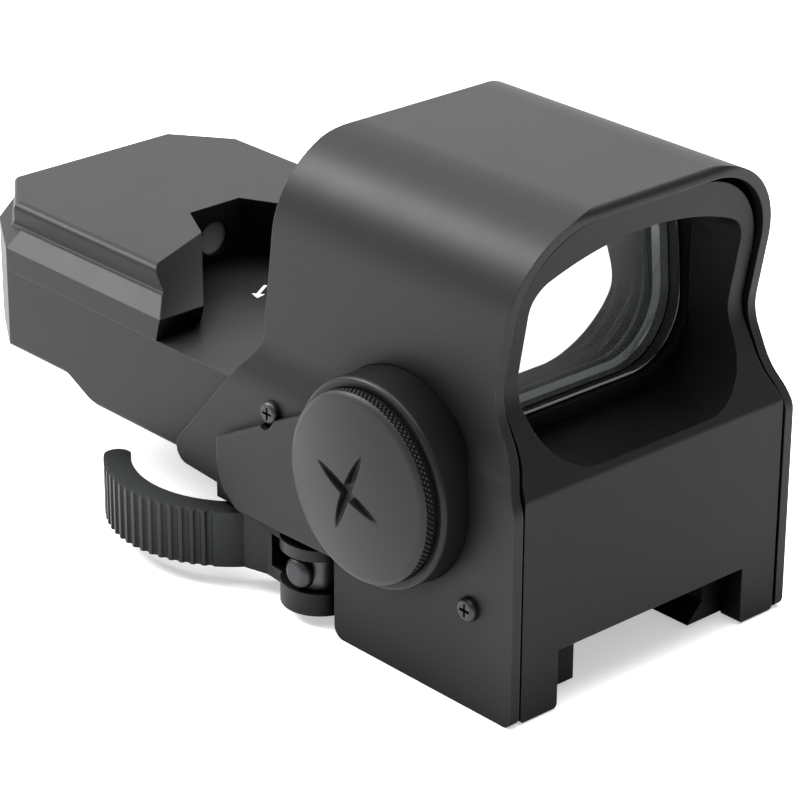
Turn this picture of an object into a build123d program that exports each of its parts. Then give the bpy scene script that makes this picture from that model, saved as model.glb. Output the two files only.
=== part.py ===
from build123d import *
from math import cos, radians, sin
import os

# Rail-mounted reflex sight with a quick-release lever, one solid node for each physical piece.
#
# Frame: the origin is the centre of the flat seat that rests on the rail. +Z is up, +Y is the rear,
# where the user looks in, and -Y is towards the target. The battery cap and the lever are on -X.
# All sizes are in millimetres.

# --- Driving dimensions -------------------------------------------------------------------------
FRONT_Y = -25.0          # front plate
REAR_Y = 70.8            # rear face of the electronics housing
FOOT_Z = -6.9            # underside of the feet, which reach past the rail's edges
DECK_TOP = 17.2          # deck in front of the cover, and the joint between housing and cover
HOOD_TOP = 46.8
BODY_HALF = 20.65        # half width over the shell's skirts
WAIST_HALF = 19.1        # half width over the hood's sides
SHOULDER_LOW = DECK_TOP
SHOULDER_HIGH = 23.6
HOOD_CORNER = 10.8
SHELL_WALL = 1.2
INNER_HALF = BODY_HALF - SHELL_WALL
FRAME_INSET = 1.55       # the window frame stands clear inside the shell
FRAME_CORNER = 10.6

WINDOW_HALF = 15.4
WINDOW_LOW = 19.2
WINDOW_TOP = 42.2        # top of the arch
WINDOW_SHOULDER = 38.7   # where the arch meets the sides
WINDOW_LOW_CORNER = 7.4
WINDOW_TOP_CORNER = 3.5
FRAME_BACK_Y = -14.0     # joint between the window frame and the lens frame
LENS_FRAME_BACK_Y = -5.0
FRAME_LOW = 16.4         # joint between the frames and the base

LENS_Y = -10.8           # coated joint between the front and the rear glass
LENS_Z = 31.3
LENS_TILT = 4.5          # degrees, top leaning to the rear
LENS_WIDTH = 31.2
LENS_HEIGHT = 21.4
LENS_CORNER = 8.0
FRONT_GLASS = 2.0
REAR_GLASS = 2.0
GASKET_THICK = 0.6
FIT = 0.1                # clearance across a pocket that holds a still part

RAIL_NOTCH_HALF = 13.9
SEAT_EDGE = 10.9         # half width of the channel for a 21.2 mm rail
BASE_LOW = -6.3          # underside of the base, above the feet
HOOK_HIGH = -4.1         # where the clamp's hooks start to close under the rail
HOOK_LOW = -6.2
HOOK_TIP = 8.7
JAW_ROOF = 3.4           # roof of the pocket that holds the sliding jaw
JAW_FACE = -10.75        # sliding jaw's face beside the rail
JAW_BACK = -12.4
JAW_POCKET_BACK = -15.1
JAW_FRONT_Y = -19.5
JAW_REAR_Y = 19.5
LEVER_BAY_Y = 1.5        # the lever's bay is behind this, on -X

CAP_Y = -6.8
CAP_Z = 15.6
CUP_RADIUS = 11.5
CUP_BORE = 10.45
CUP_FACE_X = -24.0
CUP_BACK_X = -17.6
CAP_RADIUS = 10.5
PAD_X = -22.1            # raised pad round the battery compartment
CELL_RADIUS = 10.0
CELL_THICK = 3.2
CAP_CENTRE_X = -27.0
CAP_RIM_X = -25.7

BOLT_Y = 7.6
BOLT_Z = -1.0
BOLT_RADIUS = 1.25
PIVOT_X = -18.2
BARREL_RADIUS = 2.4
CAM_OFFSET = 0.85
CAM_RADIUS = 4.4
LEVER_TOP = 2.3
LEVER_LOW = -5.6
BAND_LOW = -4.4         # underside of the handle's band
FORK_TOP = 0.95
FORK_LOW = -2.95
RUNNING = 0.05           # radial clearance of a running fit

HOUSING_LOW = 5.0
HOUSING_REAR_LOW = 7.2
CHAMFER_Y = 62.0         # where the rear corners' plan chamfer starts
CHAMFER_HALF = 14.0
CAVITY_FLOOR = 9.3
CAVITY_REAR = 65.5
CAVITY_FRONT = 49.0
COVER_FRONT = 32.0
COVER_BAND_TOP = 19.9
COVER_SHELF = 21.8       # top of the 45 degree shelf along the cover's sides
COVER_TOP = 24.6
CROWN_HALF = 17.0        # raised middle of the cover
CROWN_CHAMFER_Y = 63.5
CROWN_CORNER = 11.6
CROWN_COVE = [(0, 0.5), (0.15, 0.2), (0.55, 0)]   # (height, spread) of the crown's hollow foot

BEAM_Z = 20.4
SELECTOR_Z = DECK_TOP
KNOB_Y = 57.0
KNOB_Z = 12.4
ELEVATION_X = 5.0
ELEVATION_Y = 31.0
WINDAGE_Y = 44.0
WINDAGE_Z = 12.2
SCREW_SPOTS = [(-18.7, 4.8), (12.4, 16.2)]   # (y, z) of the shell's screws, on both sides
PIN_SPOTS = [(-10, 8), (10, 8)]              # (x, z) of the pins between window frame and base
PIN_RADIUS = 1.2
DOWEL_SPOTS = [(-16.3, -8), (16.3, -8)]      # (x, y) of the dowels between lens frame and base
DOWEL_RADIUS = 0.9
DECK_SCREW_SPOTS = [(-10, 8), (10, 8)]       # (x, y) of the screws that hold the deck to the base
COVER_SCREWS = [(side * x, y, z) for side in (-1, 1)
                for x, y, z in ((16.4, 40, HOUSING_LOW), (9, 68.2, HOUSING_REAR_LOW))]
SCREW_RADIUS = 1.1                           # shafts of the deck's and the cover's screws
SHELL_SCREW_RADIUS = 0.8
GUIDE_YS = (-12.0, 16.5)                     # the jaw's guide pins
GUIDE_Z = 1.7
GUIDE_RADIUS = 0.8
POST_XS = (-6, 6)                            # posts that guide the emitter carriage up and down
POST_Y = 53.2
POST_RADIUS = 1.0

CAM_X = PIVOT_X + CAM_OFFSET * cos(radians(45))
CAM_Y = BOLT_Y + CAM_OFFSET * sin(radians(45))

os.makedirs("parts", exist_ok=True)


# --- Shared shapes ------------------------------------------------------------------------------
def side_plane(x, y=0, z=0):
    """Plane across the sight, with its own x along +Y, its y along +Z, its normal +X."""
    return Plane(origin=(x, y, z), x_dir=(0, 1, 0), z_dir=(1, 0, 0))


def front_plane(y, x=0, z=0):
    """Plane facing the target, with its own x along +X and its y along +Z."""
    return Plane(origin=(x, y, z), x_dir=(1, 0, 0), z_dir=(0, -1, 0))


def level_plane(z, x=0, y=0):
    """Level plane, facing up."""
    return Plane(origin=(x, y, z))


def cap_plane(x):
    """Plane square to the battery compartment's axis at x, centred on that axis."""
    return side_plane(x, CAP_Y, CAP_Z)


def block(low, high, mode=Mode.ADD):
    """Box between two corners, in the current part."""
    size = [high[i] - low[i] for i in range(3)]
    middle = [(high[i] + low[i]) / 2 for i in range(3)]
    with Locations(tuple(middle)):
        Box(*size, mode=mode)


def rounded(corners):
    """Sketch of a closed outline given as (u, v, radius) corners; radius 0 leaves a corner sharp."""
    with BuildSketch() as outline:
        with BuildLine():
            Polyline(*[(u, v) for u, v, _ in corners], close=True)
        make_face()
        for u, v, radius in corners:
            if radius:
                fillet(outline.vertices().sort_by_distance((u, v, 0))[0], radius)
    return outline.sketch


def rod(plane, radius, length, mode=Mode.ADD):
    """Cylinder that starts on the plane's origin and runs along its normal."""
    with BuildSketch(plane) as disc:
        Circle(radius)
    extrude(disc.sketch, amount=length, mode=mode)


def hood_outline(inset, corner, foot):
    """Arched section of the hood with its shoulders and skirts, inset from the outer skin."""
    half = BODY_HALF - inset
    waist = WAIST_HALF - inset
    top = HOOD_TOP - inset
    middle = ((half + waist) / 2, (SHOULDER_LOW + SHOULDER_HIGH) / 2)
    with BuildSketch() as outline:
        with BuildLine():
            Line((0, top), (waist - corner, top))
            CenterArc((waist - corner, top - corner), corner, 0, 90)
            Line((waist, top - corner), (waist, SHOULDER_HIGH))
            upper = TangentArc((waist, SHOULDER_HIGH), middle, tangent=(0, -1))
            TangentArc(middle, (half, SHOULDER_LOW), tangent=upper % 1)
            Line((half, SHOULDER_LOW), (half, foot))
            Line((half, foot), (0, foot))
            mirror(about=Plane.YZ)
        make_face()
    return outline.sketch


def rear_plan(half, start, corner, front):
    """Plan of the rear housing, whose corners are chamfered from y = start to x = corner."""
    with BuildSketch() as plan:
        with BuildLine():
            Polyline((-half, front), (half, front), (half, start), (corner, REAR_Y),
                     (-corner, REAR_Y), (-half, start), close=True)
        make_face()
    return plan.sketch


def window_outline():
    """Window opening: arched top with tight corners, and wide lower corners."""
    with BuildSketch() as window:
        with BuildLine():
            ThreePointArc((-WINDOW_HALF, WINDOW_SHOULDER), (0, WINDOW_TOP), (WINDOW_HALF, WINDOW_SHOULDER))
            Polyline((WINDOW_HALF, WINDOW_SHOULDER), (WINDOW_HALF, WINDOW_LOW),
                     (-WINDOW_HALF, WINDOW_LOW), (-WINDOW_HALF, WINDOW_SHOULDER))
        make_face()
        fillet(window.vertices().group_by(Axis.Y)[0], WINDOW_LOW_CORNER)
        fillet(window.vertices().group_by(Axis.Y)[-1], WINDOW_TOP_CORNER)
    return window.sketch


def cup_clearance():
    """Room for the battery cup in the current part."""
    rod(cap_plane(CUP_FACE_X - 1), CUP_RADIUS + FIT / 2, CUP_BACK_X - CUP_FACE_X + 1, Mode.SUBTRACT)


def lens_plane(offset):
    """Plane on the leaning lens, offset towards the target."""
    lean = radians(LENS_TILT)
    return Plane(origin=(0, LENS_Y, LENS_Z), x_dir=(1, 0, 0), z_dir=(0, -cos(lean), sin(lean))).offset(offset)


def coil_spring(base, radius, wire, length, turns):
    """Coil spring of round wire that stands on the base plane."""
    path = Helix(pitch=length / turns, height=length, radius=radius)
    path = base.location * path
    section = Plane(origin=path @ 0, z_dir=path % 0) * Circle(wire)
    return sweep(section, path=path)


# --- Hood shell ---------------------------------------------------------------------------------
shell_back = 32.0
with BuildPart() as hood_shell:
    with BuildSketch(front_plane(FRONT_Y)):
        add(hood_outline(0, HOOD_CORNER, FOOT_Z))
    extrude(amount=FRONT_Y - shell_back)
    with BuildSketch(front_plane(FRONT_Y)):
        add(hood_outline(SHELL_WALL, HOOD_CORNER - SHELL_WALL, FOOT_Z - 1))
    extrude(amount=FRONT_Y - shell_back, mode=Mode.SUBTRACT)
    # Side view: front edge bowed back at the waist, rear edge sloping down to the housing, and the
    # lever's bay cut out of the lower rear corner.
    with BuildSketch(side_plane(0)):
        add(rounded([(2.4, FOOT_Z, 1.4), (FRONT_Y, FOOT_Z, 1.2), (FRONT_Y, 17.5, 3), (-20.0, 27.5, 6),
                     (-23.6, HOOD_TOP, 0.8), (12.6, HOOD_TOP, 1.5), (15.7, 22.6, 4), (31.1, 5.0, 1.8),
                     (22.1, 4.4, 0), (22.1, 2.7, 0), (2.4, 2.7, 0.8)]))
    extrude(amount=BODY_HALF + 2, both=True, mode=Mode.INTERSECT)
    # Raised pad round the battery compartment.
    with BuildSketch(side_plane(PAD_X)):
        add(rounded([(20.7, 10.9, 0.8), (2.0, 20.6, 0), (-6.8, 22, 0), (-6.8, 3.4, 0), (17.2, 2.9, 2),
                     (19.8, 5.0, 2), (20.7, 8.0, 0.8)]))
    extrude(amount=2.4)
    fillet(hood_shell.faces().sort_by(Axis.X)[0].outer_wire().edges().filter_by(
        lambda e: e.center().Y > CAP_Y + 1), 0.6)
    rod(cap_plane(CUP_FACE_X - 1), CUP_RADIUS + FIT / 2, 9, Mode.SUBTRACT)
    with BuildSketch(side_plane(-BODY_HALF)):
        with Locations(SCREW_SPOTS[1]):
            Circle(1.6)
    extrude(amount=-3, mode=Mode.SUBTRACT)
    with BuildSketch(side_plane(0)):
        with Locations(*SCREW_SPOTS):
            Circle(0.85)
    extrude(amount=BODY_HALF + 2, both=True, mode=Mode.SUBTRACT)
hood_shell.part.label = "hood_shell"
export_step(hood_shell.part, "parts/hood_shell.step")

# --- Window frame, with the front plate and its feet ----------------------------------------------
plate_front = FRONT_Y + 0.1
plate_back = -22.0
with BuildPart() as window_frame:
    with BuildSketch(front_plane(plate_front)):
        add(hood_outline(FRAME_INSET, FRAME_CORNER, FOOT_Z))
    extrude(amount=plate_front - FRAME_BACK_Y)
    block((-RAIL_NOTCH_HALF, FRONT_Y, FOOT_Z - 1), (RAIL_NOTCH_HALF, FRAME_BACK_Y + 1, 0), Mode.SUBTRACT)
    foot_corners = window_frame.edges().filter_by(Axis.Y).group_by(Axis.Z)[0]
    fillet(foot_corners, 0.8)
    with BuildSketch(side_plane(0)):
        add(rounded([(plate_back, FOOT_Z, 0), (plate_front, FOOT_Z, 0.4), (plate_front, 18.4, 0.8),
                     (-19.4, 27.9, 5), (-22.9, HOOD_TOP, 0), (FRAME_BACK_Y, HOOD_TOP, 0),
                     (FRAME_BACK_Y, FRAME_LOW, 0), (plate_back, FRAME_LOW, 0)]))
    extrude(amount=BODY_HALF, both=True, mode=Mode.INTERSECT)
    with BuildSketch(front_plane(FRAME_BACK_Y + 1)):
        add(window_outline())
    extrude(amount=FRAME_BACK_Y - FRONT_Y + 2, mode=Mode.SUBTRACT)
    cup_clearance()
    for x, z in PIN_SPOTS:
        rod(front_plane(plate_back, x, z), PIN_RADIUS, 2, Mode.SUBTRACT)
window_frame.part.label = "window_frame"
export_step(window_frame.part, "parts/window_frame.step")

# --- Lens frame, lens pair and gasket -------------------------------------------------------------
with BuildPart() as lens_frame:
    with BuildSketch(front_plane(FRAME_BACK_Y)):
        add(hood_outline(FRAME_INSET, FRAME_CORNER, FRAME_LOW))
    extrude(amount=FRAME_BACK_Y - LENS_FRAME_BACK_Y)
    with BuildSketch(lens_plane(-REAR_GLASS - GASKET_THICK)):
        RectangleRounded(LENS_WIDTH + FIT, LENS_HEIGHT + FIT, LENS_CORNER)
    extrude(amount=10, mode=Mode.SUBTRACT)
    with BuildSketch(lens_plane(0)):
        RectangleRounded(LENS_WIDTH - 2.4, LENS_HEIGHT - 2.4, LENS_CORNER - 1)
    extrude(amount=12, both=True, mode=Mode.SUBTRACT)
    cup_clearance()
    for x, y in DOWEL_SPOTS:
        rod(level_plane(FRAME_LOW, x, y), DOWEL_RADIUS, 3, Mode.SUBTRACT)
lens_frame.part.label = "lens_frame"
export_step(lens_frame.part, "parts/lens_frame.step")

with BuildPart() as lens_front:
    with BuildSketch(lens_plane(0)):
        RectangleRounded(LENS_WIDTH, LENS_HEIGHT, LENS_CORNER)
    extrude(amount=FRONT_GLASS)
    chamfer(lens_front.faces().sort_by(Axis.Y)[0].edges(), 0.6)
lens_front.part.label = "lens_front"
export_step(lens_front.part, "parts/lens_front.step")

with BuildPart() as lens_rear:
    with BuildSketch(lens_plane(-REAR_GLASS)):
        RectangleRounded(LENS_WIDTH, LENS_HEIGHT, LENS_CORNER)
    extrude(amount=REAR_GLASS)
    chamfer(lens_rear.faces().sort_by(Axis.Y)[0].edges(), 0.25)
lens_rear.part.label = "lens_rear"
export_step(lens_rear.part, "parts/lens_rear.step")

with BuildPart() as lens_gasket:
    with BuildSketch(lens_plane(-REAR_GLASS - GASKET_THICK)):
        RectangleRounded(LENS_WIDTH, LENS_HEIGHT, LENS_CORNER)
        RectangleRounded(LENS_WIDTH - 2.4, LENS_HEIGHT - 2.4, LENS_CORNER - 1, mode=Mode.SUBTRACT)
    extrude(amount=GASKET_THICK)
lens_gasket.part.label = "lens_gasket"
export_step(lens_gasket.part, "parts/lens_gasket.step")

# --- Base with the rail channel and the fixed jaw -------------------------------------------------
base_back = 20.0
deck_low = 12.0
lug_back_x = -8.5
lug_front_x = 10.8
with BuildPart() as base:
    with BuildSketch(side_plane(0)):
        with BuildLine():
            Polyline((plate_back, BASE_LOW), (base_back, BASE_LOW), (base_back, deck_low),
                     (LENS_FRAME_BACK_Y, deck_low), (LENS_FRAME_BACK_Y, FRAME_LOW),
                     (plate_back, FRAME_LOW), close=True)
        make_face()
    extrude(amount=INNER_HALF, both=True)
    with BuildSketch(front_plane(plate_back)):
        with BuildLine():
            Polyline((-HOOK_TIP, FOOT_Z - 1), (-HOOK_TIP, 0), (SEAT_EDGE, 0), (SEAT_EDGE, HOOK_HIGH),
                     (HOOK_TIP, HOOK_LOW), (HOOK_TIP, FOOT_Z - 1), close=True)
        make_face()
    extrude(amount=plate_back - base_back, mode=Mode.SUBTRACT)
    block((HOOK_TIP - 0.1, plate_back, -0.1), (SEAT_EDGE, base_back, 0.4), Mode.SUBTRACT)
    block((JAW_POCKET_BACK, -20, FOOT_Z - 1), (-HOOK_TIP, base_back, JAW_ROOF), Mode.SUBTRACT)
    block((-INNER_HALF - 1, LEVER_BAY_Y, FOOT_Z - 1), (-HOOK_TIP, base_back, JAW_ROOF), Mode.SUBTRACT)
    block((lug_back_x - 0.2, BOLT_Y - 2.5, -0.1), (lug_front_x, BOLT_Y + 2.5, 1.2), Mode.SUBTRACT)
    rod(side_plane(lug_front_x - 1, BOLT_Y, BOLT_Z), 1.3, 12, Mode.SUBTRACT)
    rod(side_plane(15.4, BOLT_Y, BOLT_Z), 3.2, 5, Mode.SUBTRACT)
    for y in GUIDE_YS:
        rod(side_plane(-5, y, GUIDE_Z), 1.45, -4, Mode.SUBTRACT)
        rod(side_plane(-1, y, GUIDE_Z), GUIDE_RADIUS, -5, Mode.SUBTRACT)
    cup_clearance()
    for x, z in PIN_SPOTS:
        rod(front_plane(plate_back, x, z), PIN_RADIUS, -3, Mode.SUBTRACT)
    for x, y in DOWEL_SPOTS:
        rod(level_plane(FRAME_LOW, x, y), DOWEL_RADIUS, -3, Mode.SUBTRACT)
    for x, y in DECK_SCREW_SPOTS:
        rod(level_plane(deck_low, x, y), SCREW_RADIUS, -5, Mode.SUBTRACT)
    for side in (-1, 1):
        rod(side_plane(side * INNER_HALF, *SCREW_SPOTS[0]), SHELL_SCREW_RADIUS, -side * 4, Mode.SUBTRACT)
base.part.label = "base"
export_step(base.part, "parts/base.step")

with BuildPart() as locating_pins:
    for x, z in PIN_SPOTS:
        rod(front_plane(plate_back + 3, x, z), PIN_RADIUS, 4.8)
    for x, y in DOWEL_SPOTS:
        rod(level_plane(FRAME_LOW - 3, x, y), DOWEL_RADIUS, 5.8)
locating_pins.part.label = "locating_pins"
export_step(locating_pins.part, "parts/locating_pins.step")

# --- Rear housing: deck in front, open tub behind --------------------------------------------------
with BuildPart() as rear_housing:
    with BuildSketch(level_plane(HOUSING_LOW)):
        add(rear_plan(INNER_HALF, CHAMFER_Y, CHAMFER_HALF, LENS_FRAME_BACK_Y))
    extrude(amount=DECK_TOP - HOUSING_LOW)
    with BuildSketch(side_plane(0)):
        add(rounded([(LENS_FRAME_BACK_Y, deck_low, 0), (base_back, deck_low, 0),
                     (base_back, HOUSING_LOW, 0), (46.6, HOUSING_LOW, 3), (51.3, HOUSING_REAR_LOW, 3),
                     (REAR_Y, HOUSING_REAR_LOW, 2), (REAR_Y, DECK_TOP, 0),
                     (LENS_FRAME_BACK_Y, DECK_TOP, 0)]))
    extrude(amount=BODY_HALF, both=True, mode=Mode.INTERSECT)
    lower_edges = rear_housing.edges().filter_by(Axis.Y).filter_by(
        lambda e: e.center().Z < HOUSING_REAR_LOW + 0.1 and e.center().Y > base_back)
    chamfer(lower_edges, 0.7)
    block((-13.2, 24, CAVITY_FLOOR), (13.2, CAVITY_FRONT, 14.8), Mode.SUBTRACT)
    block((-17.4, CAVITY_FRONT, CAVITY_FLOOR), (17.4, 61, 14.8), Mode.SUBTRACT)
    block((-14.8, CAVITY_FRONT, CAVITY_FLOOR), (14.8, CAVITY_REAR, DECK_TOP + 1), Mode.SUBTRACT)
    cup_clearance()
    rod(level_plane(14, ELEVATION_X, ELEVATION_Y), 1.25, 4, Mode.SUBTRACT)
    rod(level_plane(16.1, ELEVATION_X, ELEVATION_Y), 2.25, 2, Mode.SUBTRACT)
    rod(side_plane(12, WINDAGE_Y, WINDAGE_Z), 1.25, 9, Mode.SUBTRACT)
    rod(side_plane(18.35, WINDAGE_Y, WINDAGE_Z), 2.25, 2, Mode.SUBTRACT)
    rod(side_plane(17, KNOB_Y, KNOB_Z), 1.55, 4, Mode.SUBTRACT)
    rod(front_plane(REAR_Y + 1, 0, SELECTOR_Z), 1.8, 8, Mode.SUBTRACT)
    for x, y in DECK_SCREW_SPOTS:
        rod(level_plane(deck_low - 1, x, y), SCREW_RADIUS, 8, Mode.SUBTRACT)
        rod(level_plane(DECK_TOP - 2, x, y), 2.0, 3, Mode.SUBTRACT)
    for side in (-1, 1):
        rod(side_plane(side * INNER_HALF, *SCREW_SPOTS[1]), SHELL_SCREW_RADIUS, -side * 4, Mode.SUBTRACT)
    for x, y, z in COVER_SCREWS:
        rod(level_plane(z, x, y), SCREW_RADIUS, 14, Mode.SUBTRACT)
        rod(level_plane(z, x, y), 2.0, 1.5, Mode.SUBTRACT)
rear_housing.part.label = "rear_housing"
export_step(rear_housing.part, "parts/rear_housing.step")

# --- Top cover: stepped sides and a flared notch for the beam --------------------------------------
with BuildPart() as top_cover:
    with BuildSketch(level_plane(DECK_TOP)):
        add(rear_plan(INNER_HALF, CHAMFER_Y, CHAMFER_HALF, COVER_FRONT))
    extrude(amount=COVER_SHELF - DECK_TOP)
    side_edges = top_cover.faces().sort_by(Axis.Z)[-1].edges().filter_by(lambda e: abs(e.center().X) > 5)
    chamfer(side_edges, COVER_SHELF - COVER_BAND_TOP)
    for (low, low_spread), (high, high_spread) in zip(CROWN_COVE, CROWN_COVE[1:]):
        for height, spread in ((low, low_spread), (high, high_spread)):
            with BuildSketch(level_plane(COVER_SHELF + height)):
                add(rear_plan(CROWN_HALF + spread, CROWN_CHAMFER_Y, CROWN_CORNER + spread / 3, COVER_FRONT))
        loft(ruled=True)
    with BuildSketch(level_plane(COVER_SHELF + CROWN_COVE[-1][0])):
        add(rear_plan(CROWN_HALF, CROWN_CHAMFER_Y, CROWN_CORNER, COVER_FRONT))
    extrude(amount=COVER_TOP - COVER_SHELF - CROWN_COVE[-1][0])
    crown = top_cover.faces().sort_by(Axis.Z)[-1].outer_wire().edges()
    fillet(crown, 1.0)
    # The notch: arms with raked fronts, walls that open towards the lens, and an undercut below.
    notch = [
        (DECK_TOP, [(-30, 32.0), (-11.9, 35.3), (-4.6, 47.5), (4.6, 47.5), (11.9, 35.3), (30, 32.0)]),
        (COVER_BAND_TOP, [(-30, 33.1), (-13.1, 33.2), (-4.4, 47.4), (4.4, 47.4), (13.1, 33.2), (30, 33.1)]),
        (COVER_TOP, [(-30, 31.6), (-6.6, 41.5), (-3.7, 47.2), (3.7, 47.2), (6.6, 41.5), (30, 31.6)]),
    ]
    for (low, low_points), (high, high_points) in zip(notch, notch[1:]):
        for height, points in ((low, low_points), (high, high_points)):
            with BuildSketch(level_plane(height)):
                with BuildLine():
                    Polyline(*points, (30, 20), (-30, 20), close=True)
                make_face()
        loft(mode=Mode.SUBTRACT, ruled=True)
    block((-14.8, CAVITY_FRONT, DECK_TOP - 1), (14.8, CAVITY_REAR, 22.6), Mode.SUBTRACT)
    rod(front_plane(CAVITY_FRONT + 1, 0, BEAM_Z), 2.1, 6, Mode.SUBTRACT)
    rod(front_plane(CAVITY_FRONT + 1, 0, BEAM_Z), 2.65, 2, Mode.SUBTRACT)
    rod(front_plane(REAR_Y + 1, 0, SELECTOR_Z), 1.8, 8, Mode.SUBTRACT)
    for x, y, _ in COVER_SCREWS:
        rod(level_plane(DECK_TOP, x, y), SCREW_RADIUS, 2.2, Mode.SUBTRACT)
top_cover.part.label = "top_cover"
export_step(top_cover.part, "parts/top_cover.step")

with BuildPart() as port_window:
    rod(front_plane(CAVITY_FRONT - 0.1, 0, BEAM_Z), 2.6, 0.8)
port_window.part.label = "port_window"
export_step(port_window.part, "parts/port_window.step")

# --- Direction arrow inlaid beside the elevation screw ---------------------------------------------
with BuildPart() as adjust_arrow:
    with BuildSketch(level_plane(DECK_TOP)):
        with BuildLine():
            Polyline((-3.1, 35.9), (-2.7, 37.4), (-2.3, 37.0), (0.0, 38.4), (0.2, 38.05), (-2.1, 36.65),
                     (-1.7, 36.2), close=True)
        make_face()
    extrude(amount=0.06)
adjust_arrow.part.label = "adjust_arrow"
export_step(adjust_arrow.part, "parts/adjust_arrow.step")

# --- Battery compartment --------------------------------------------------------------------------
with BuildPart() as battery_cup:
    rod(cap_plane(CUP_FACE_X), CUP_RADIUS, CUP_BACK_X - CUP_FACE_X)
    fillet(battery_cup.faces().sort_by(Axis.X)[0].edges(), 0.5)
    rod(cap_plane(CUP_FACE_X), CUP_BORE, CUP_BACK_X - CUP_FACE_X - 0.8, Mode.SUBTRACT)
battery_cup.part.label = "battery_cup"
export_step(battery_cup.part, "parts/battery_cup.step")

contact_x = CUP_BACK_X - 0.8
with BuildPart() as battery_contact:
    with BuildSketch(cap_plane(contact_x)):
        Circle(3)
        for angle in (0, 60, 120):
            Rectangle(14, 1.6, rotation=angle)
    extrude(amount=-0.4)
battery_contact.part.label = "battery_contact"
export_step(battery_contact.part, "parts/battery_contact.step")

cell_x = contact_x - 0.45
with BuildPart() as coin_cell:
    rod(cap_plane(cell_x), CELL_RADIUS, -CELL_THICK)
    chamfer(coin_cell.edges().filter_by(GeomType.CIRCLE), 0.3)
coin_cell.part.label = "coin_cell"
export_step(coin_cell.part, "parts/coin_cell.step")

cap_inner_x = cell_x - CELL_THICK - 0.1
groove_x = (cap_inner_x + CUP_FACE_X) / 2
with BuildPart() as battery_cap:
    with BuildSketch(Plane(origin=(0, CAP_Y, CAP_Z), x_dir=(1, 0, 0), z_dir=(0, -1, 0))):
        with BuildLine():
            Polyline((CAP_CENTRE_X, 0), (cap_inner_x, 0), (cap_inner_x, CUP_BORE - RUNNING),
                     (groove_x + 0.5, CUP_BORE - RUNNING), (groove_x + 0.5, 9.4), (groove_x - 0.5, 9.4),
                     (groove_x - 0.5, CUP_BORE - RUNNING), (CUP_FACE_X - 0.1, CUP_BORE - RUNNING),
                     (CUP_FACE_X - 0.1, CAP_RADIUS), (CAP_RIM_X + 0.4, CAP_RADIUS),
                     (CAP_RIM_X, CAP_RADIUS - 0.6))
            ThreePointArc((CAP_RIM_X, CAP_RADIUS - 0.6), (-26.68, 5.2), (CAP_CENTRE_X, 0))
        make_face()
    revolve(axis=Axis((0, CAP_Y, CAP_Z), (1, 0, 0)))
    # Knurled rim and a four-armed coin slot.
    with BuildSketch(cap_plane(CAP_RIM_X - 1)):
        with PolarLocations(CAP_RADIUS, 56):
            RegularPolygon(0.42, 4)
    extrude(amount=CUP_FACE_X - CAP_RIM_X + 1, mode=Mode.SUBTRACT)
    with BuildSketch(cap_plane(CAP_CENTRE_X - 0.5)):
        arm_tips = [(5.3 * cos(radians(23 + 90 * i)), 5.3 * sin(radians(23 + 90 * i))) for i in range(4)]
        arm_roots = [(1.1 * cos(radians(68 + 90 * i)), 1.1 * sin(radians(68 + 90 * i))) for i in range(4)]
        with BuildLine():
            Polyline(*[p for pair in zip(arm_tips, arm_roots) for p in pair], close=True)
        make_face()
    extrude(amount=2.0, mode=Mode.SUBTRACT)
battery_cap.part.label = "battery_cap"
export_step(battery_cap.part, "parts/battery_cap.step")

with BuildPart() as cap_oring:
    with BuildSketch(Plane(origin=(groove_x, CAP_Y, CAP_Z), x_dir=(1, 0, 0), z_dir=(0, -1, 0))):
        with Locations((0, 9.92)):
            Circle(0.45)
    revolve(axis=Axis((0, CAP_Y, CAP_Z), (1, 0, 0)))
cap_oring.part.label = "cap_oring"
export_step(cap_oring.part, "parts/cap_oring.step")

# --- Clamp: sliding jaw, thrust plate, guide pins, springs, recoil lug and cross bolt --------------
with BuildPart() as clamp_jaw:
    with BuildSketch(front_plane(JAW_FRONT_Y)):
        with BuildLine():
            Polyline((JAW_BACK, -6.2), (JAW_BACK, JAW_ROOF - 0.2), (-8.9, JAW_ROOF - 0.2), (-8.9, 0.15),
                     (JAW_FACE, 0.15), (JAW_FACE, HOOK_HIGH), (-8.8, -6.05), (-8.8, -6.2), close=True)
        make_face()
    extrude(amount=JAW_FRONT_Y - JAW_REAR_Y)
    for y in GUIDE_YS:
        rod(side_plane(-14, y, GUIDE_Z), GUIDE_RADIUS + RUNNING, 6, Mode.SUBTRACT)
    rod(side_plane(-14, BOLT_Y, BOLT_Z), BOLT_RADIUS + 0.1, 6, Mode.SUBTRACT)
clamp_jaw.part.label = "clamp_jaw"
export_step(clamp_jaw.part, "parts/clamp_jaw.step")

with BuildPart() as thrust_plate:
    block((JAW_BACK - 0.7, BOLT_Y - 4.6, -5.8), (JAW_BACK, BOLT_Y + 5.4, 2.6))
    rod(side_plane(-14, BOLT_Y, BOLT_Z), BOLT_RADIUS + 0.1, 3, Mode.SUBTRACT)
thrust_plate.part.label = "thrust_plate"
export_step(thrust_plate.part, "parts/thrust_plate.step")

with BuildPart() as guide_pins:
    for y in GUIDE_YS:
        rod(side_plane(-13.9, y, GUIDE_Z), GUIDE_RADIUS, 12.9)
guide_pins.part.label = "guide_pins"
export_step(guide_pins.part, "parts/guide_pins.step")

jaw_springs = Compound(children=[
    coil_spring(Plane(origin=(-8.7, y, GUIDE_Z), z_dir=(1, 0, 0)), 1.15, 0.18, 3.4, 5) for y in GUIDE_YS])
jaw_springs.label = "jaw_springs"
export_step(jaw_springs, "parts/jaw_springs.step")

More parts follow.
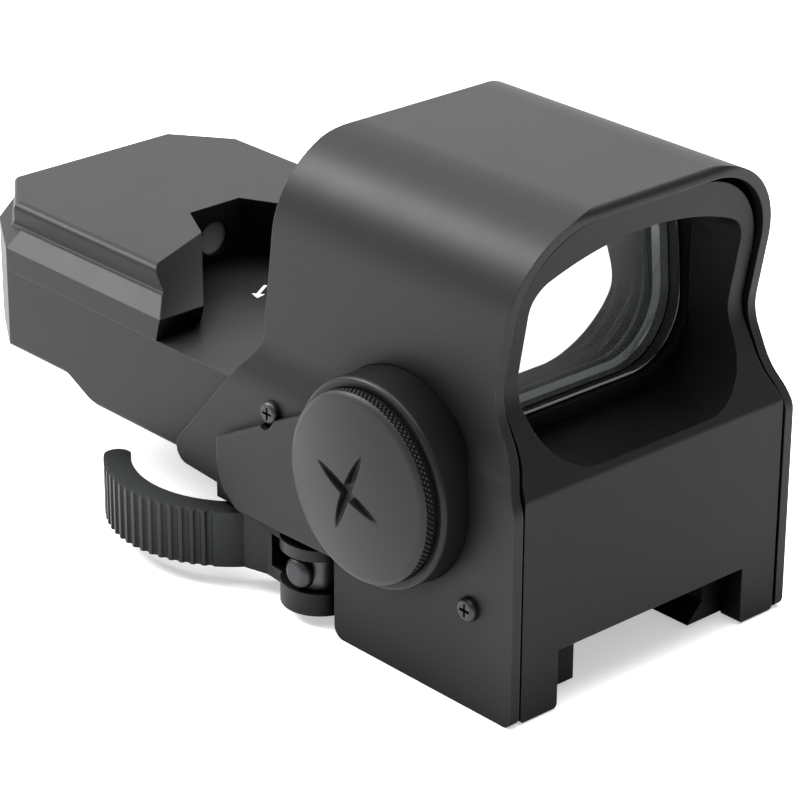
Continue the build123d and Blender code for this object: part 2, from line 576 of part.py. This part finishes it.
with BuildPart() as recoil_lug:
    block((lug_back_x, BOLT_Y - 2.45, -2.9), (lug_front_x - 0.05, BOLT_Y + 2.45, 1.15))
    rod(side_plane(-10, BOLT_Y, BOLT_Z), BOLT_RADIUS + 0.05, 22, Mode.SUBTRACT)
recoil_lug.part.label = "recoil_lug"
export_step(recoil_lug.part, "parts/recoil_lug.step")

with BuildPart() as cross_bolt:
    rod(side_plane(-21.0, BOLT_Y, BOLT_Z), BOLT_RADIUS, 36.5)
    with BuildSketch(side_plane(15.5, BOLT_Y, BOLT_Z)):
        Circle(2.9)
    extrude(amount=3.4)
    fillet(cross_bolt.faces().sort_by(Axis.X)[-1].edges(), 0.6)
    with BuildSketch(side_plane(18.9, BOLT_Y, BOLT_Z)):
        RegularPolygon(1.5, 6)
    extrude(amount=-1.8, mode=Mode.SUBTRACT)
cross_bolt.part.label = "cross_bolt"
export_step(cross_bolt.part, "parts/cross_bolt.step")

nut_tip_x = -21.9
nut_back_x = PIVOT_X - BARREL_RADIUS - 0.05
with BuildPart() as tension_nut:
    rod(side_plane(nut_tip_x, BOLT_Y, BOLT_Z), 1.85, nut_back_x - nut_tip_x)
    fillet(tension_nut.faces().sort_by(Axis.X)[0].edges(), 0.9)
    rod(side_plane(-21.05, BOLT_Y, BOLT_Z), BOLT_RADIUS + 0.02, 2, Mode.SUBTRACT)
tension_nut.part.label = "tension_nut"
export_step(tension_nut.part, "parts/tension_nut.step")

with BuildPart() as lever_barrel:
    rod(level_plane(LEVER_LOW + 0.2, PIVOT_X, BOLT_Y), BARREL_RADIUS, 7.5)
    rod(side_plane(-22, BOLT_Y, BOLT_Z), BOLT_RADIUS + 0.02, 8, Mode.SUBTRACT)
lever_barrel.part.label = "lever_barrel"
export_step(lever_barrel.part, "parts/lever_barrel.step")

# --- Quick-release lever: eccentric fork and a curved, ribbed handle -------------------------------
with BuildPart() as qd_lever:
    with BuildSketch(level_plane(BAND_LOW)):
        with BuildLine():
            outer = ThreePointArc((-20.6, 17.6), (-26.7, 29.2), (-23.0, 39.6))
            tip = TangentArc(outer @ 1, (-20.3, 38.0), tangent=outer % 1)
            inner = ThreePointArc(tip @ 1, (-23.5, 29.0), (-18.4, 19.5))
            Line(inner @ 1, (-15.9, 15.5))
            Line((-15.9, 15.5), (-15.6, 9.0))
            Line((-15.6, 9.0), (-20.3, 9.0))
            Line((-20.3, 9.0), (-19.8, 14.6))
            Line((-19.8, 14.6), outer @ 0)
        make_face()
    extrude(amount=LEVER_TOP - BAND_LOW)
    rod(level_plane(LEVER_LOW, CAM_X, CAM_Y), CAM_RADIUS, LEVER_TOP - LEVER_LOW)
    with BuildSketch(level_plane(LEVER_LOW)):
        with Locations((outer.arc_center.X, outer.arc_center.Y)):
            with PolarLocations(outer.radius + 0.2, 15, start_angle=147, angular_range=77):
                Circle(0.5)
    extrude(amount=LEVER_TOP - LEVER_LOW, mode=Mode.SUBTRACT)
    block((-30, -2, FORK_LOW), (-10, BOLT_Y + 6.1, FORK_TOP), Mode.SUBTRACT)
    rod(level_plane(-7, PIVOT_X, BOLT_Y), BARREL_RADIUS + RUNNING, 12, Mode.SUBTRACT)
qd_lever.part.label = "qd_lever"
export_step(qd_lever.part, "parts/qd_lever.step")

# --- Aiming unit: windage slide, emitter carriage, LED, reticle disc and selector ------------------
with BuildPart() as windage_slide:
    block((-8, 42, 9.5), (9.6, 60, 10.9))
    block((8.6, 42, 9.5), (9.6, 46, 13.4))
    for x in POST_XS:
        rod(level_plane(10, x, POST_Y), POST_RADIUS, 6.4)
windage_slide.part.label = "windage_slide"
export_step(windage_slide.part, "parts/windage_slide.step")

with BuildPart() as emitter_carriage:
    block((-7.6, 50.6, 11.6), (8.0, 56, 16.0))
    block((-3.4, 50.6, 15.0), (3.4, 56, 21.9))
    block((3.2, 28.5, 11.6), (8.0, 52, 13.6))
    for x in POST_XS:
        rod(level_plane(11, x, POST_Y), POST_RADIUS + RUNNING, 6, Mode.SUBTRACT)
    rod(front_plane(57, 0, BEAM_Z), 1.55, 8, Mode.SUBTRACT)
    rod(front_plane(57, 0, SELECTOR_Z), 1.0 + RUNNING, 8, Mode.SUBTRACT)
emitter_carriage.part.label = "emitter_carriage"
export_step(emitter_carriage.part, "parts/emitter_carriage.step")

with BuildPart() as led_emitter:
    rod(front_plane(55.4, 0, BEAM_Z), 1.5, 4.2)
    fillet(led_emitter.faces().sort_by(Axis.Y)[0].edges(), 1.3)
    for x in (-0.6, 0.6):
        rod(front_plane(57.6, x, BEAM_Z), 0.22, 2.4)
led_emitter.part.label = "led_emitter"
export_step(led_emitter.part, "parts/led_emitter.step")

with BuildPart() as reticle_disc:
    rod(front_plane(50.1, 0, SELECTOR_Z), 4.3, 0.6)
    with BuildSketch(front_plane(50.2, 0, SELECTOR_Z)):
        Circle(0.95)
        with PolarLocations(BEAM_Z - SELECTOR_Z, 4, start_angle=90):
            Circle(0.5)
    extrude(amount=1, mode=Mode.SUBTRACT)
reticle_disc.part.label = "reticle_disc"
export_step(reticle_disc.part, "parts/reticle_disc.step")

with BuildPart() as selector_knob:
    rod(front_plane(72, 0, SELECTOR_Z), 0.95, 22.5)
    rod(front_plane(74.3, 0, SELECTOR_Z), 4.2, 3)
    with BuildSketch(front_plane(74.3, 0, SELECTOR_Z)):
        with PolarLocations(4.2, 20):
            Circle(0.35)
    extrude(amount=3, mode=Mode.SUBTRACT)
    with BuildSketch(front_plane(74.9, 0, SELECTOR_Z)):
        Rectangle(1.3, 6.4)
    extrude(amount=1.2)
selector_knob.part.label = "selector_knob"
export_step(selector_knob.part, "parts/selector_knob.step")

with BuildPart() as elevation_screw:
    rod(level_plane(14.25, ELEVATION_X, ELEVATION_Y), 1.2, 2.2)
    rod(level_plane(16.15, ELEVATION_X, ELEVATION_Y), 2.2, 0.95)
    block((ELEVATION_X - 0.35, ELEVATION_Y - 3, 16.6), (ELEVATION_X + 0.35, ELEVATION_Y + 3, 18), Mode.SUBTRACT)
elevation_screw.part.label = "elevation_screw"
export_step(elevation_screw.part, "parts/elevation_screw.step")

with BuildPart() as windage_screw:
    rod(side_plane(10.4, WINDAGE_Y, WINDAGE_Z), 1.2, 8.2)
    rod(side_plane(18.4, WINDAGE_Y, WINDAGE_Z), 2.2, 0.95)
    block((18.85, WINDAGE_Y - 0.35, WINDAGE_Z - 3), (20.5, WINDAGE_Y + 0.35, WINDAGE_Z + 3), Mode.SUBTRACT)
windage_screw.part.label = "windage_screw"
export_step(windage_screw.part, "parts/windage_screw.step")

elevation_coil = coil_spring(Plane(origin=(ELEVATION_X + 0.6, 34.5, CAVITY_FLOOR + 0.2)), 1.3, 0.18, 1.35, 3)
elevation_spring = Compound(children=[elevation_coil])
elevation_spring.label = "elevation_spring"
export_step(elevation_spring, "parts/elevation_spring.step")

windage_coil = coil_spring(Plane(origin=(-13.0, 45.5, 11.4), z_dir=(1, 0, 0)), 1.2, 0.18, 4.2, 6)
windage_spring = Compound(children=[windage_coil])
windage_spring.label = "windage_spring"
export_step(windage_spring, "parts/windage_spring.step")

# --- Electronics and the brightness control --------------------------------------------------------
with BuildPart() as circuit_board:
    block((-14.4, 62.5, 9.5), (14.4, 63.7, 21.5))
    rod(front_plane(64, 0, SELECTOR_Z), 2.2, 3, Mode.SUBTRACT)
circuit_board.part.label = "circuit_board"
export_step(circuit_board.part, "parts/circuit_board.step")

with BuildPart() as board_chips:
    block((-11, 63.7, 12), (-6, 64.9, 17))
    block((5, 63.7, 11.5), (8.4, 64.7, 15))
    block((10, 63.7, 16), (12.2, 64.5, 19.5))
    rod(front_plane(65.2, -4.6, 11.6), 1.3, 1.5)
board_chips.part.label = "board_chips"
export_step(board_chips.part, "parts/board_chips.step")

with BuildPart() as dimmer_switch:
    block((11.4, KNOB_Y - 4.4, 9.5), (17.2, KNOB_Y + 3.8, 14.7))
    rod(side_plane(14.8, KNOB_Y, KNOB_Z), 1.55, 3, Mode.SUBTRACT)
dimmer_switch.part.label = "dimmer_switch"
export_step(dimmer_switch.part, "parts/dimmer_switch.step")

with BuildPart() as brightness_knob:
    rod(side_plane(15, KNOB_Y, KNOB_Z), 1.5, 5.5)
    rod(side_plane(19.75, KNOB_Y, KNOB_Z), 4.4, 3.7)
    with BuildSketch(side_plane(19.75, KNOB_Y, KNOB_Z)):
        with PolarLocations(4.4, 24):
            Circle(0.32)
    extrude(amount=3.6, mode=Mode.SUBTRACT)
    rod(level_plane(14, 21.7, KNOB_Y), 0.6, 4, Mode.SUBTRACT)
brightness_knob.part.label = "brightness_knob"
export_step(brightness_knob.part, "parts/brightness_knob.step")

with BuildPart() as knob_set_screw:
    rod(level_plane(14.1, 21.7, KNOB_Y), 0.58, 2.3)
knob_set_screw.part.label = "knob_set_screw"
export_step(knob_set_screw.part, "parts/knob_set_screw.step")

# --- Fasteners ------------------------------------------------------------------------------------
with BuildPart() as shell_screws:
    for side in (-1, 1):
        for y, z in SCREW_SPOTS:
            rod(side_plane(side * BODY_HALF, y, z), SHELL_SCREW_RADIUS, -side * 5.2)
            rod(side_plane(side * BODY_HALF, y, z), 1.3, side * 0.8)
    heads = shell_screws.edges().filter_by(GeomType.CIRCLE).filter_by(
        lambda e: abs(e.center().X) > BODY_HALF + 0.7)
    fillet(heads, 0.45)
    for side in (-1, 1):
        for y, z in SCREW_SPOTS:
            face_x = side * (BODY_HALF + 0.85)
            for width, height in ((1.5, 0.32), (0.32, 1.5)):
                with BuildSketch(side_plane(face_x, y, z)):
                    Rectangle(width, height)
                extrude(amount=-side * 0.65, mode=Mode.SUBTRACT)
shell_screws.part.label = "shell_screws"
export_step(shell_screws.part, "parts/shell_screws.step")

with BuildPart() as cover_screws:
    for x, y, z in COVER_SCREWS:
        rod(level_plane(z + 0.1, x, y), 1.95, 1.4)
        rod(level_plane(z + 1, x, y), SCREW_RADIUS, DECK_TOP + 2 - z - 1)
        for across, along in ((1.3, 0.2), (0.2, 1.3)):
            block((x - across, y - along, z), (x + across, y + along, z + 0.7), Mode.SUBTRACT)
cover_screws.part.label = "cover_screws"
export_step(cover_screws.part, "parts/cover_screws.step")

with BuildPart() as deck_screws:
    for x, y in DECK_SCREW_SPOTS:
        rod(level_plane(DECK_TOP - 10, x, y), SCREW_RADIUS, 9)
        rod(level_plane(DECK_TOP - 2, x, y), 1.95, 1.8)
        with BuildSketch(level_plane(DECK_TOP - 0.2, x, y)):
            RegularPolygon(0.95, 6)
        extrude(amount=-1, mode=Mode.SUBTRACT)
deck_screws.part.label = "deck_screws"
export_step(deck_screws.part, "parts/deck_screws.step")
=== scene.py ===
"""Looks of the red dot finder: a material for each CAD node, a detailed cap, floor, light and camera."""
import math

import bmesh
import bpy
from mathutils import Matrix, Vector


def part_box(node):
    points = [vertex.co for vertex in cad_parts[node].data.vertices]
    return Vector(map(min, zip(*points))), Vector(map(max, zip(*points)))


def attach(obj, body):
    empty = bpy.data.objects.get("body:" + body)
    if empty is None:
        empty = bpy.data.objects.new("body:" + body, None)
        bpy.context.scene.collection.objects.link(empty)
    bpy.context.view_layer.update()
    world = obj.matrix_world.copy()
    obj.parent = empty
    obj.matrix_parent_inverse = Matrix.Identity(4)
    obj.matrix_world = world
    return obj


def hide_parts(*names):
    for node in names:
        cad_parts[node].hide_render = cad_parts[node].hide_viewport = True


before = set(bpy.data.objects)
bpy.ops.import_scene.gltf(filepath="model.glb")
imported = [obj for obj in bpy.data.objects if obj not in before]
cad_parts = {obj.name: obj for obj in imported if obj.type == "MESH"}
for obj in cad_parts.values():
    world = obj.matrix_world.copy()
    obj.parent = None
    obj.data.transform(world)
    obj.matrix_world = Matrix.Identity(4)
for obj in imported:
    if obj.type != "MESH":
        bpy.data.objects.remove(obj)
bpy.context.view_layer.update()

MM = 0.001

# Photographer's view, worked out from the sight's own straight edges.
VIEW_AZIMUTH = -42.2
VIEW_ELEVATION = 24.35
VIEW_ROLL = 0.3
VIEW_LENS = 152.4
VIEW_TARGET = Vector((0, 0, 15.6)) * MM
VIEW_DISTANCE = 367 * MM
VIEW_SIDEWAYS = -9.97 * MM


# --- Node helpers -----------------------------------------------------------------------------
class Tree:
    """Small wrapper that makes nodes in a material and links them."""

    def __init__(self, name):
        self.material = bpy.data.materials.new(name)
        self.material.use_nodes = True
        self.nodes = self.material.node_tree.nodes
        self.links = self.material.node_tree.links
        self.nodes.clear()
        self.shader = self.add("ShaderNodeBsdfPrincipled")
        output = self.add("ShaderNodeOutputMaterial")
        self.link(self.shader.outputs["BSDF"], output.inputs["Surface"])

    def add(self, kind, **settings):
        node = self.nodes.new(kind)
        for key, value in settings.items():
            setattr(node, key, value)
        return node

    def link(self, source, target):
        self.links.new(source, target)

    def noise(self, size, detail):
        """Noise whose features are about size metres across, in the object's own space."""
        texture = self.add("ShaderNodeTexNoise")
        texture.inputs["Scale"].default_value = 1 / size
        texture.inputs["Detail"].default_value = detail
        self.link(self.add("ShaderNodeTexCoord").outputs["Object"], texture.inputs["Vector"])
        return texture.outputs["Fac"]

    def remap(self, value, low, high, to_low=0, to_high=1):
        """Value between low and high, spread over to_low to to_high."""
        node = self.add("ShaderNodeMapRange")
        for key, number in (("From Min", low), ("From Max", high), ("To Min", to_low), ("To Max", to_high)):
            node.inputs[key].default_value = number
        self.link(value, node.inputs["Value"])
        return node.outputs["Result"]

    def spread(self, noise, to_low=0, to_high=1):
        """Middle part of a noise, which holds nearly all of it, spread over to_low to to_high."""
        return self.remap(noise, 0.3, 0.7, to_low, to_high)

    def math(self, operation, first, second=0):
        node = self.add("ShaderNodeMath", operation=operation)
        for socket, value in zip(node.inputs, (first, second)):
            if isinstance(value, (int, float)):
                socket.default_value = value
            else:
                self.link(value, socket)
        return node.outputs["Value"]

    def mix(self, factor, first, second):
        node = self.add("ShaderNodeMix", data_type="RGBA")
        self.link(factor, node.inputs["Factor"])
        for key, value in ((6, first), (7, second)):
            if isinstance(value, tuple):
                node.inputs[key].default_value = (*value, 1)
            else:
                self.link(value, node.inputs[key])
        return node.outputs[2]

    def edges(self, radius):
        """Softened normal at sharp edges, and a mask that is 1 on those edges."""
        bevel = self.add("ShaderNodeBevel", samples=6)
        bevel.inputs["Radius"].default_value = radius
        geometry = self.add("ShaderNodeNewGeometry")
        dot = self.add("ShaderNodeVectorMath", operation="DOT_PRODUCT")
        self.link(bevel.outputs["Normal"], dot.inputs[0])
        self.link(geometry.outputs["Normal"], dot.inputs[1])
        return bevel.outputs["Normal"], self.remap(dot.outputs["Value"], 0.99, 0.8)

    def painted_shade(self, distance, least):
        """Painted shade: a value from ambient occlusion that falls from 1 in the open to least deep inside
        a hollow.
        """
        occlusion = self.add("ShaderNodeAmbientOcclusion", samples=8)
        occlusion.inputs["Distance"].default_value = distance
        return self.remap(occlusion.outputs["AO"], 0.25, 0.8, least)

    def bump(self, height, distance, normal):
        """Normal with a relief of the given depth added to it."""
        node = self.add("ShaderNodeBump")
        node.inputs["Distance"].default_value = distance
        self.link(height, node.inputs["Height"])
        self.link(normal, node.inputs["Normal"])
        return node.outputs["Normal"]

    def drive(self, **sources):
        """Feeds inputs of the shader, each from a node or from a plain value."""
        for key, source in sources.items():
            socket = self.shader.inputs[key.replace("_", " ")]
            if isinstance(source, bpy.types.NodeSocket):
                self.link(source, socket)
            else:
                socket.default_value = source


def shade(tone, factor, most=1.0):
    """Tone made darker or lighter, with no channel above most."""
    return tuple(min(channel * factor, most) for channel in tone)


GLOSS = 0.17             # specular level of the anodised finish in the open, lowered by painted shade in hollows
PAINTED_SHADE_REACH = 16 * MM         # distance over which painted shade darkens the anodised finish in a hollow
BLACK = (0.0074, 0.0078, 0.0080)
SOOT = (0.0042, 0.0043, 0.0048)
RUBBED = (0.045, 0.047, 0.049)
BRIGHT = (0.5, 0.5, 0.5)
BLUED = (0.055, 0.055, 0.057)
BURNISHED = (0.12, 0.12, 0.125)
FROSTED = (0.62, 0.64, 0.64)


def anodised(name, tone, roughness):
    """Bead-blasted, black anodised aluminium with lighter, rubbed edges and painted shade that darkens it
    in hollows.
    """
    tree = Tree(name)
    normal, mask = tree.edges(0.18 * MM)
    cloud = tree.noise(9 * MM, 4)
    speck = tree.noise(0.16 * MM, 2)
    rub = tree.noise(1.3 * MM, 3)
    body = tree.mix(tree.spread(cloud), shade(tone, 0.92), tone)
    wear = tree.math("MULTIPLY", mask, tree.remap(rub, 0.42, 0.62, 0.15, 0.8))
    # Painted shade: ambient occlusion darkens the base colour and the specular level in hollows.
    painted_shade_factor = tree.painted_shade(PAINTED_SHADE_REACH, 0.1)
    tree.drive(Base_Color=tree.mix(painted_shade_factor, (0, 0, 0), tree.mix(wear, body, RUBBED)),
               Specular_IOR_Level=tree.math("MULTIPLY", painted_shade_factor, GLOSS),
               Roughness=tree.math("ADD", tree.spread(cloud, roughness - 0.01, roughness + 0.01),
                                   tree.spread(speck, -0.03, 0.03)),
               Normal=tree.bump(speck, 0.004 * MM, normal),
               Metallic=0.0)
    return tree.material


def steel(name, tone, roughness):
    """Steel with a fine ground finish and brighter edges."""
    tree = Tree(name)
    normal, mask = tree.edges(0.08 * MM)
    fine = tree.noise(0.12 * MM, 3)
    body = tree.mix(tree.spread(tree.noise(3 * MM, 3)), shade(tone, 0.7), tone)
    tree.drive(Base_Color=tree.mix(tree.math("MULTIPLY", mask, 0.6), body, shade(tone, 1.6, 0.9)),
               Roughness=tree.spread(fine, roughness - 0.06, roughness + 0.08),
               Normal=tree.bump(fine, 0.004 * MM, normal),
               Metallic=1.0)
    return tree.material


def moulded(name, tone, roughness, depth=0.006 * MM):
    """Moulded plastic, rubber or paint with a faint grain."""
    tree = Tree(name)
    normal, _ = tree.edges(0.12 * MM)
    fine = tree.noise(0.1 * MM, 2)
    tree.drive(Base_Color=tree.mix(tree.spread(tree.noise(5 * MM, 3)), shade(tone, 0.8), tone),
               Roughness=tree.spread(fine, roughness - 0.05, roughness + 0.05),
               Normal=tree.bump(fine, depth, normal))
    return tree.material


def coated_glass(name, tone, alpha, metallic, ground=FROSTED):
    """Lens with a coating on its faces, a frosted, ground chamfer and a blackened side wall."""
    tree = Tree(name)
    split = tree.add("ShaderNodeSeparateXYZ")
    tree.link(tree.add("ShaderNodeNewGeometry").outputs["Normal"], split.inputs["Vector"])
    facing = tree.math("ABSOLUTE", split.outputs["Y"])
    rim = tree.remap(facing, 0.97, 0.93)
    wall = tree.remap(facing, 0.45, 0.35)
    face = tree.mix(tree.spread(tree.noise(14 * MM, 1)), shade(tone, 0.96), tone)
    tree.drive(Base_Color=tree.mix(wall, tree.mix(rim, face, ground), SOOT),
               Roughness=tree.remap(rim, 0, 1, 0.03, 0.55),
               Metallic=tree.remap(rim, 0, 1, metallic, 0.0),
               Alpha=tree.remap(rim, 0, 1, alpha, 0.9))
    return tree.material


materials = {
    "hood_shell": anodised("shell_anodised", BLACK, 0.46),
    "window_frame": anodised("frame_anodised", SOOT, 0.5),
    "lens_frame": anodised("tunnel_anodised", (0.008, 0.008, 0.009), 0.62),
    "lens_front": coated_glass("lens_front_glass", (0.02, 0.021, 0.021), 0.06, 0.1, (0.85, 0.87, 0.87)),
    "lens_rear": coated_glass("lens_rear_glass", (0.93, 0.96, 0.95), 0.9, 0.95),
    "lens_gasket": moulded("gasket_rubber", (0.012, 0.012, 0.012), 0.7),
    "base": anodised("base_anodised", SOOT, 0.52),
    "locating_pins": steel("pin_steel", BRIGHT, 0.3),
    "rear_housing": anodised("housing_anodised", BLACK, 0.48),
    "top_cover": anodised("cover_anodised", BLACK, 0.46),
    "port_window": coated_glass("port_glass", (0.4, 0.42, 0.43), 0.45, 0.2),
    "adjust_arrow": moulded("arrow_paint", (0.72, 0.72, 0.72), 0.6),
    "battery_cup": anodised("cup_anodised", BLACK, 0.4),
    "battery_contact": steel("contact_brass", (0.72, 0.53, 0.25), 0.28),
    "coin_cell": steel("cell_steel", (0.6, 0.6, 0.6), 0.22),
    "battery_cap": anodised("cap_anodised", (0.0145, 0.0145, 0.016), 0.44),
    "cap_oring": moulded("oring_rubber", (0.01, 0.01, 0.01), 0.5),
    "clamp_jaw": anodised("jaw_anodised", SOOT, 0.5),
    "thrust_plate": steel("plate_steel", (0.14, 0.14, 0.145), 0.4),
    "guide_pins": steel("guide_steel", BRIGHT, 0.28),
    "jaw_springs": steel("jaw_spring_wire", BRIGHT, 0.25),
    "recoil_lug": steel("lug_steel", (0.09, 0.09, 0.095), 0.45),
    "cross_bolt": steel("bolt_steel", (0.08, 0.08, 0.085), 0.38),
    "tension_nut": steel("nut_steel", (0.05, 0.05, 0.053), 0.4),
    "lever_barrel": steel("barrel_steel", (0.08, 0.08, 0.085), 0.4),
    "qd_lever": anodised("lever_anodised", (0.019, 0.0205, 0.021), 0.42),
    "windage_slide": moulded("slide_plastic", (0.05, 0.05, 0.05), 0.5),
    "emitter_carriage": moulded("carriage_plastic", (0.06, 0.06, 0.065), 0.5),
    "led_emitter": moulded("led_plastic", (0.55, 0.03, 0.02), 0.15, depth=0.001 * MM),
    "reticle_disc": steel("disc_steel", (0.2, 0.2, 0.2), 0.35),
    "selector_knob": anodised("selector_anodised", BLACK, 0.42),
    "elevation_screw": steel("elevation_steel", BURNISHED, 0.34),
    "windage_screw": steel("windage_steel", BURNISHED, 0.34),
    "elevation_spring": steel("elevation_spring_wire", BRIGHT, 0.25),
    "windage_spring": steel("windage_spring_wire", BRIGHT, 0.25),
    "circuit_board": moulded("board_mask", (0.012, 0.09, 0.035), 0.4),
    "board_chips": moulded("chip_resin", (0.02, 0.02, 0.02), 0.45),
    "dimmer_switch": moulded("switch_plastic", (0.03, 0.03, 0.035), 0.5),
    "brightness_knob": anodised("knob_anodised", BLACK, 0.42),
    "knob_set_screw": steel("set_screw_steel", (0.15, 0.15, 0.15), 0.35),
    "shell_screws": steel("shell_screw_steel", BLUED, 0.42),
    "cover_screws": steel("cover_screw_steel", BLUED, 0.42),
    "deck_screws": steel("deck_screw_steel", BLUED, 0.42),
}
for node, made in materials.items():
    for material_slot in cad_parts[node].material_slots:
        material_slot.material = made

# --- Battery cap with its fine knurl and tapered coin slots ------------------------------------------
CAP_AXIS = Vector((0, -6.8, 15.6)) * MM      # a point on the cap's axis, which runs along X
CAP_CENTRE_X = -27.0
DOME_RADIUS = 9.8
DOME_RISE = 1.25
CAP_RIM = [(-25.6, 10.15), (-25.34, 10.44)]
KNURL_FRONT = -25.28
KNURL_BACK = -24.28
KNURL_RADIUS = 10.46
KNURL_ROWS = 9
CAP_PLUG = [(-24.1, 10.3), (-23.3, 10.4), (-23.3, 9.4), (-22.6, 9.4), (-22.6, 10.4), (-22.0, 10.4)]
PLUG_END_X = -21.95
CAP_SEGMENTS = 896
CAP_TEETH = 112
TOOTH_DEPTH = 0.3
TEETH_PER_MM = 1.3       # slant of the knurl's two crossing sets of grooves
FACE_RINGS = 90
SLOT_ANGLES = (23, 113)
SLOT_REACH = 5.4
SLOT_HALF_WIDTH = 0.66
SLOT_DEPTH = 0.85
SLOT_WALL = 0.12         # width of the slot's sloping wall
SHARP_ANGLE = 32         # degrees between faces beyond which an edge of the cap stays sharp


def slot_depth(across, upward):
    """Depth of the crossed coin slots at a point of the cap's face, in millimetres."""
    deepest = 0
    for angle in SLOT_ANGLES:
        turn = math.radians(angle)
        along = abs(across * math.cos(turn) + upward * math.sin(turn)) / SLOT_REACH
        beside = abs(upward * math.cos(turn) - across * math.sin(turn))
        if along < 1:
            half = SLOT_HALF_WIDTH * (1 - along ** 3)
            wall = min(max((half - beside) / SLOT_WALL, 0), 1)
            deepest = max(deepest, SLOT_DEPTH * (1 - along ** 2) * wall)
    return deepest


def tooth_depth(turns, along):
    """Depth of the diamond knurl, from the share of a turn and the place along the axis."""
    grooves = [abs((turns * CAP_TEETH + side * along * TEETH_PER_MM) % 1 - 0.5) * 2 for side in (-1, 1)]
    return TOOTH_DEPTH * max(max(grooves) * 2 - 1, 0)


def cap_rings():
    """Rings as (x, radius, kind) from the middle of the face, over the knurl, to the plug's end."""
    radii = [DOME_RADIUS * (i + 1) / FACE_RINGS for i in range(FACE_RINGS)]
    face = [(CAP_CENTRE_X + DOME_RISE * (r / DOME_RADIUS) ** 2, r, "face") for r in radii]
    step = (KNURL_BACK - KNURL_FRONT) / (KNURL_ROWS - 1)
    knurl = [(KNURL_FRONT + step * i, KNURL_RADIUS, "knurl") for i in range(KNURL_ROWS)]
    return face + [(x, r, "plain") for x, r in CAP_RIM] + knurl + [(x, r, "plain") for x, r in CAP_PLUG]


def build_cap():
    """Battery cap as one closed mesh: domed, slotted face, knurled band and plug."""
    mesh = bmesh.new()
    rings = []
    for x, radius, kind in cap_rings():
        ring = []
        for i in range(CAP_SEGMENTS):
            turns = i / CAP_SEGMENTS
            reach = radius - (tooth_depth(turns, x - KNURL_FRONT) if kind == "knurl" else 0)
            across = reach * math.cos(2 * math.pi * turns)
            upward = reach * math.sin(2 * math.pi * turns)
            sunk = slot_depth(across, upward) if kind == "face" and radius < SLOT_REACH else 0
            ring.append(mesh.verts.new(CAP_AXIS + Vector((x + sunk, across, upward)) * MM))
        rings.append(ring)
    for inner, outer in zip(rings, rings[1:]):
        for i in range(CAP_SEGMENTS):
            j = (i + 1) % CAP_SEGMENTS
            mesh.faces.new((inner[i], outer[i], outer[j], inner[j]))
    for ring, x in ((rings[0], CAP_CENTRE_X + SLOT_DEPTH), (rings[-1], PLUG_END_X)):
        centre = mesh.verts.new(CAP_AXIS + Vector((x, 0, 0)) * MM)
        for i in range(CAP_SEGMENTS):
            mesh.faces.new((centre, ring[i], ring[(i + 1) % CAP_SEGMENTS]))
    bmesh.ops.recalc_face_normals(mesh, faces=mesh.faces)
    for face in mesh.faces:
        face.smooth = True
    data = bpy.data.meshes.new("cap_mesh")
    mesh.to_mesh(data)
    mesh.free()
    data.set_sharp_from_angle(angle=math.radians(SHARP_ANGLE))
    piece = bpy.data.objects.new("battery_cap_detail", data)
    bpy.context.scene.collection.objects.link(piece)
    return piece


battery_cap_detail = build_cap()
battery_cap_detail.data.materials.append(materials["battery_cap"])
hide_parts("battery_cap")
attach(battery_cap_detail, "cap")

# --- Floor, light and camera --------------------------------------------------------------------
FLOOR_SIZE = 6
FLOOR_GAP = 0.02 * MM
FLOOR_GLOW = 0.45
AIM = Vector((0, 0.02, 0.02))
WORLD_LIGHT = 0.6
NEAR_CLIP = 0.02

floor_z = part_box("window_frame")[0].z - FLOOR_GAP
bpy.ops.mesh.primitive_plane_add(size=FLOOR_SIZE, location=(0, 0, floor_z))
floor = bpy.context.object
floor.name = "floor"
floor_tree = Tree("floor_paint")
floor_tree.drive(Base_Color=(0.8, 0.8, 0.8, 1), Roughness=0.9, Specular_IOR_Level=0.0,
                 Emission_Color=(1, 1, 1, 1), Emission_Strength=FLOOR_GLOW)
floor.data.materials.append(floor_tree.material)


def softbox(name, place, size, power):
    """Rectangular area light that faces the sight."""
    light = bpy.data.lights.new(name, "AREA")
    light.shape = "RECTANGLE"
    light.size, light.size_y = size
    light.energy = power
    holder = bpy.data.objects.new(name, light)
    holder.location = place
    holder.rotation_mode = "QUATERNION"
    holder.rotation_quaternion = (AIM - Vector(place)).to_track_quat("-Z", "Y")
    bpy.context.scene.collection.objects.link(holder)


softbox("light_top", (0.05, 0.1, 0.9), (1.0, 1.0), 17)
softbox("light_back", (0.45, 0.7, 0.42), (0.9, 0.6), 3)
softbox("light_shoulder", (-0.42, 0.72, 0.62), (0.35, 0.35), 15)

world = bpy.data.worlds.new("studio")
world.use_nodes = True
world.node_tree.nodes["Background"].inputs["Color"].default_value = (1, 1, 1, 1)
world.node_tree.nodes["Background"].inputs["Strength"].default_value = WORLD_LIGHT
scene = bpy.context.scene
scene.world = world
scene.view_settings.view_transform = "Standard"

azimuth, elevation, roll = (math.radians(angle) for angle in (VIEW_AZIMUTH, VIEW_ELEVATION, VIEW_ROLL))
back = Vector((math.sin(azimuth) * math.cos(elevation), -math.cos(azimuth) * math.cos(elevation),
               math.sin(elevation)))
right = Vector((math.cos(azimuth), math.sin(azimuth), 0))
up = back.cross(right)
camera = bpy.data.objects.new("camera", bpy.data.cameras.new("camera"))
camera.data.lens = VIEW_LENS
camera.data.clip_start = NEAR_CLIP
axes = (right * math.cos(roll) + up * math.sin(roll), up * math.cos(roll) - right * math.sin(roll), back)
turn = Matrix(axes).transposed()
place = VIEW_TARGET + right * VIEW_SIDEWAYS + back * VIEW_DISTANCE
camera.matrix_world = Matrix.Translation(place) @ turn.to_4x4()
scene.collection.objects.link(camera)
scene.camera = camera
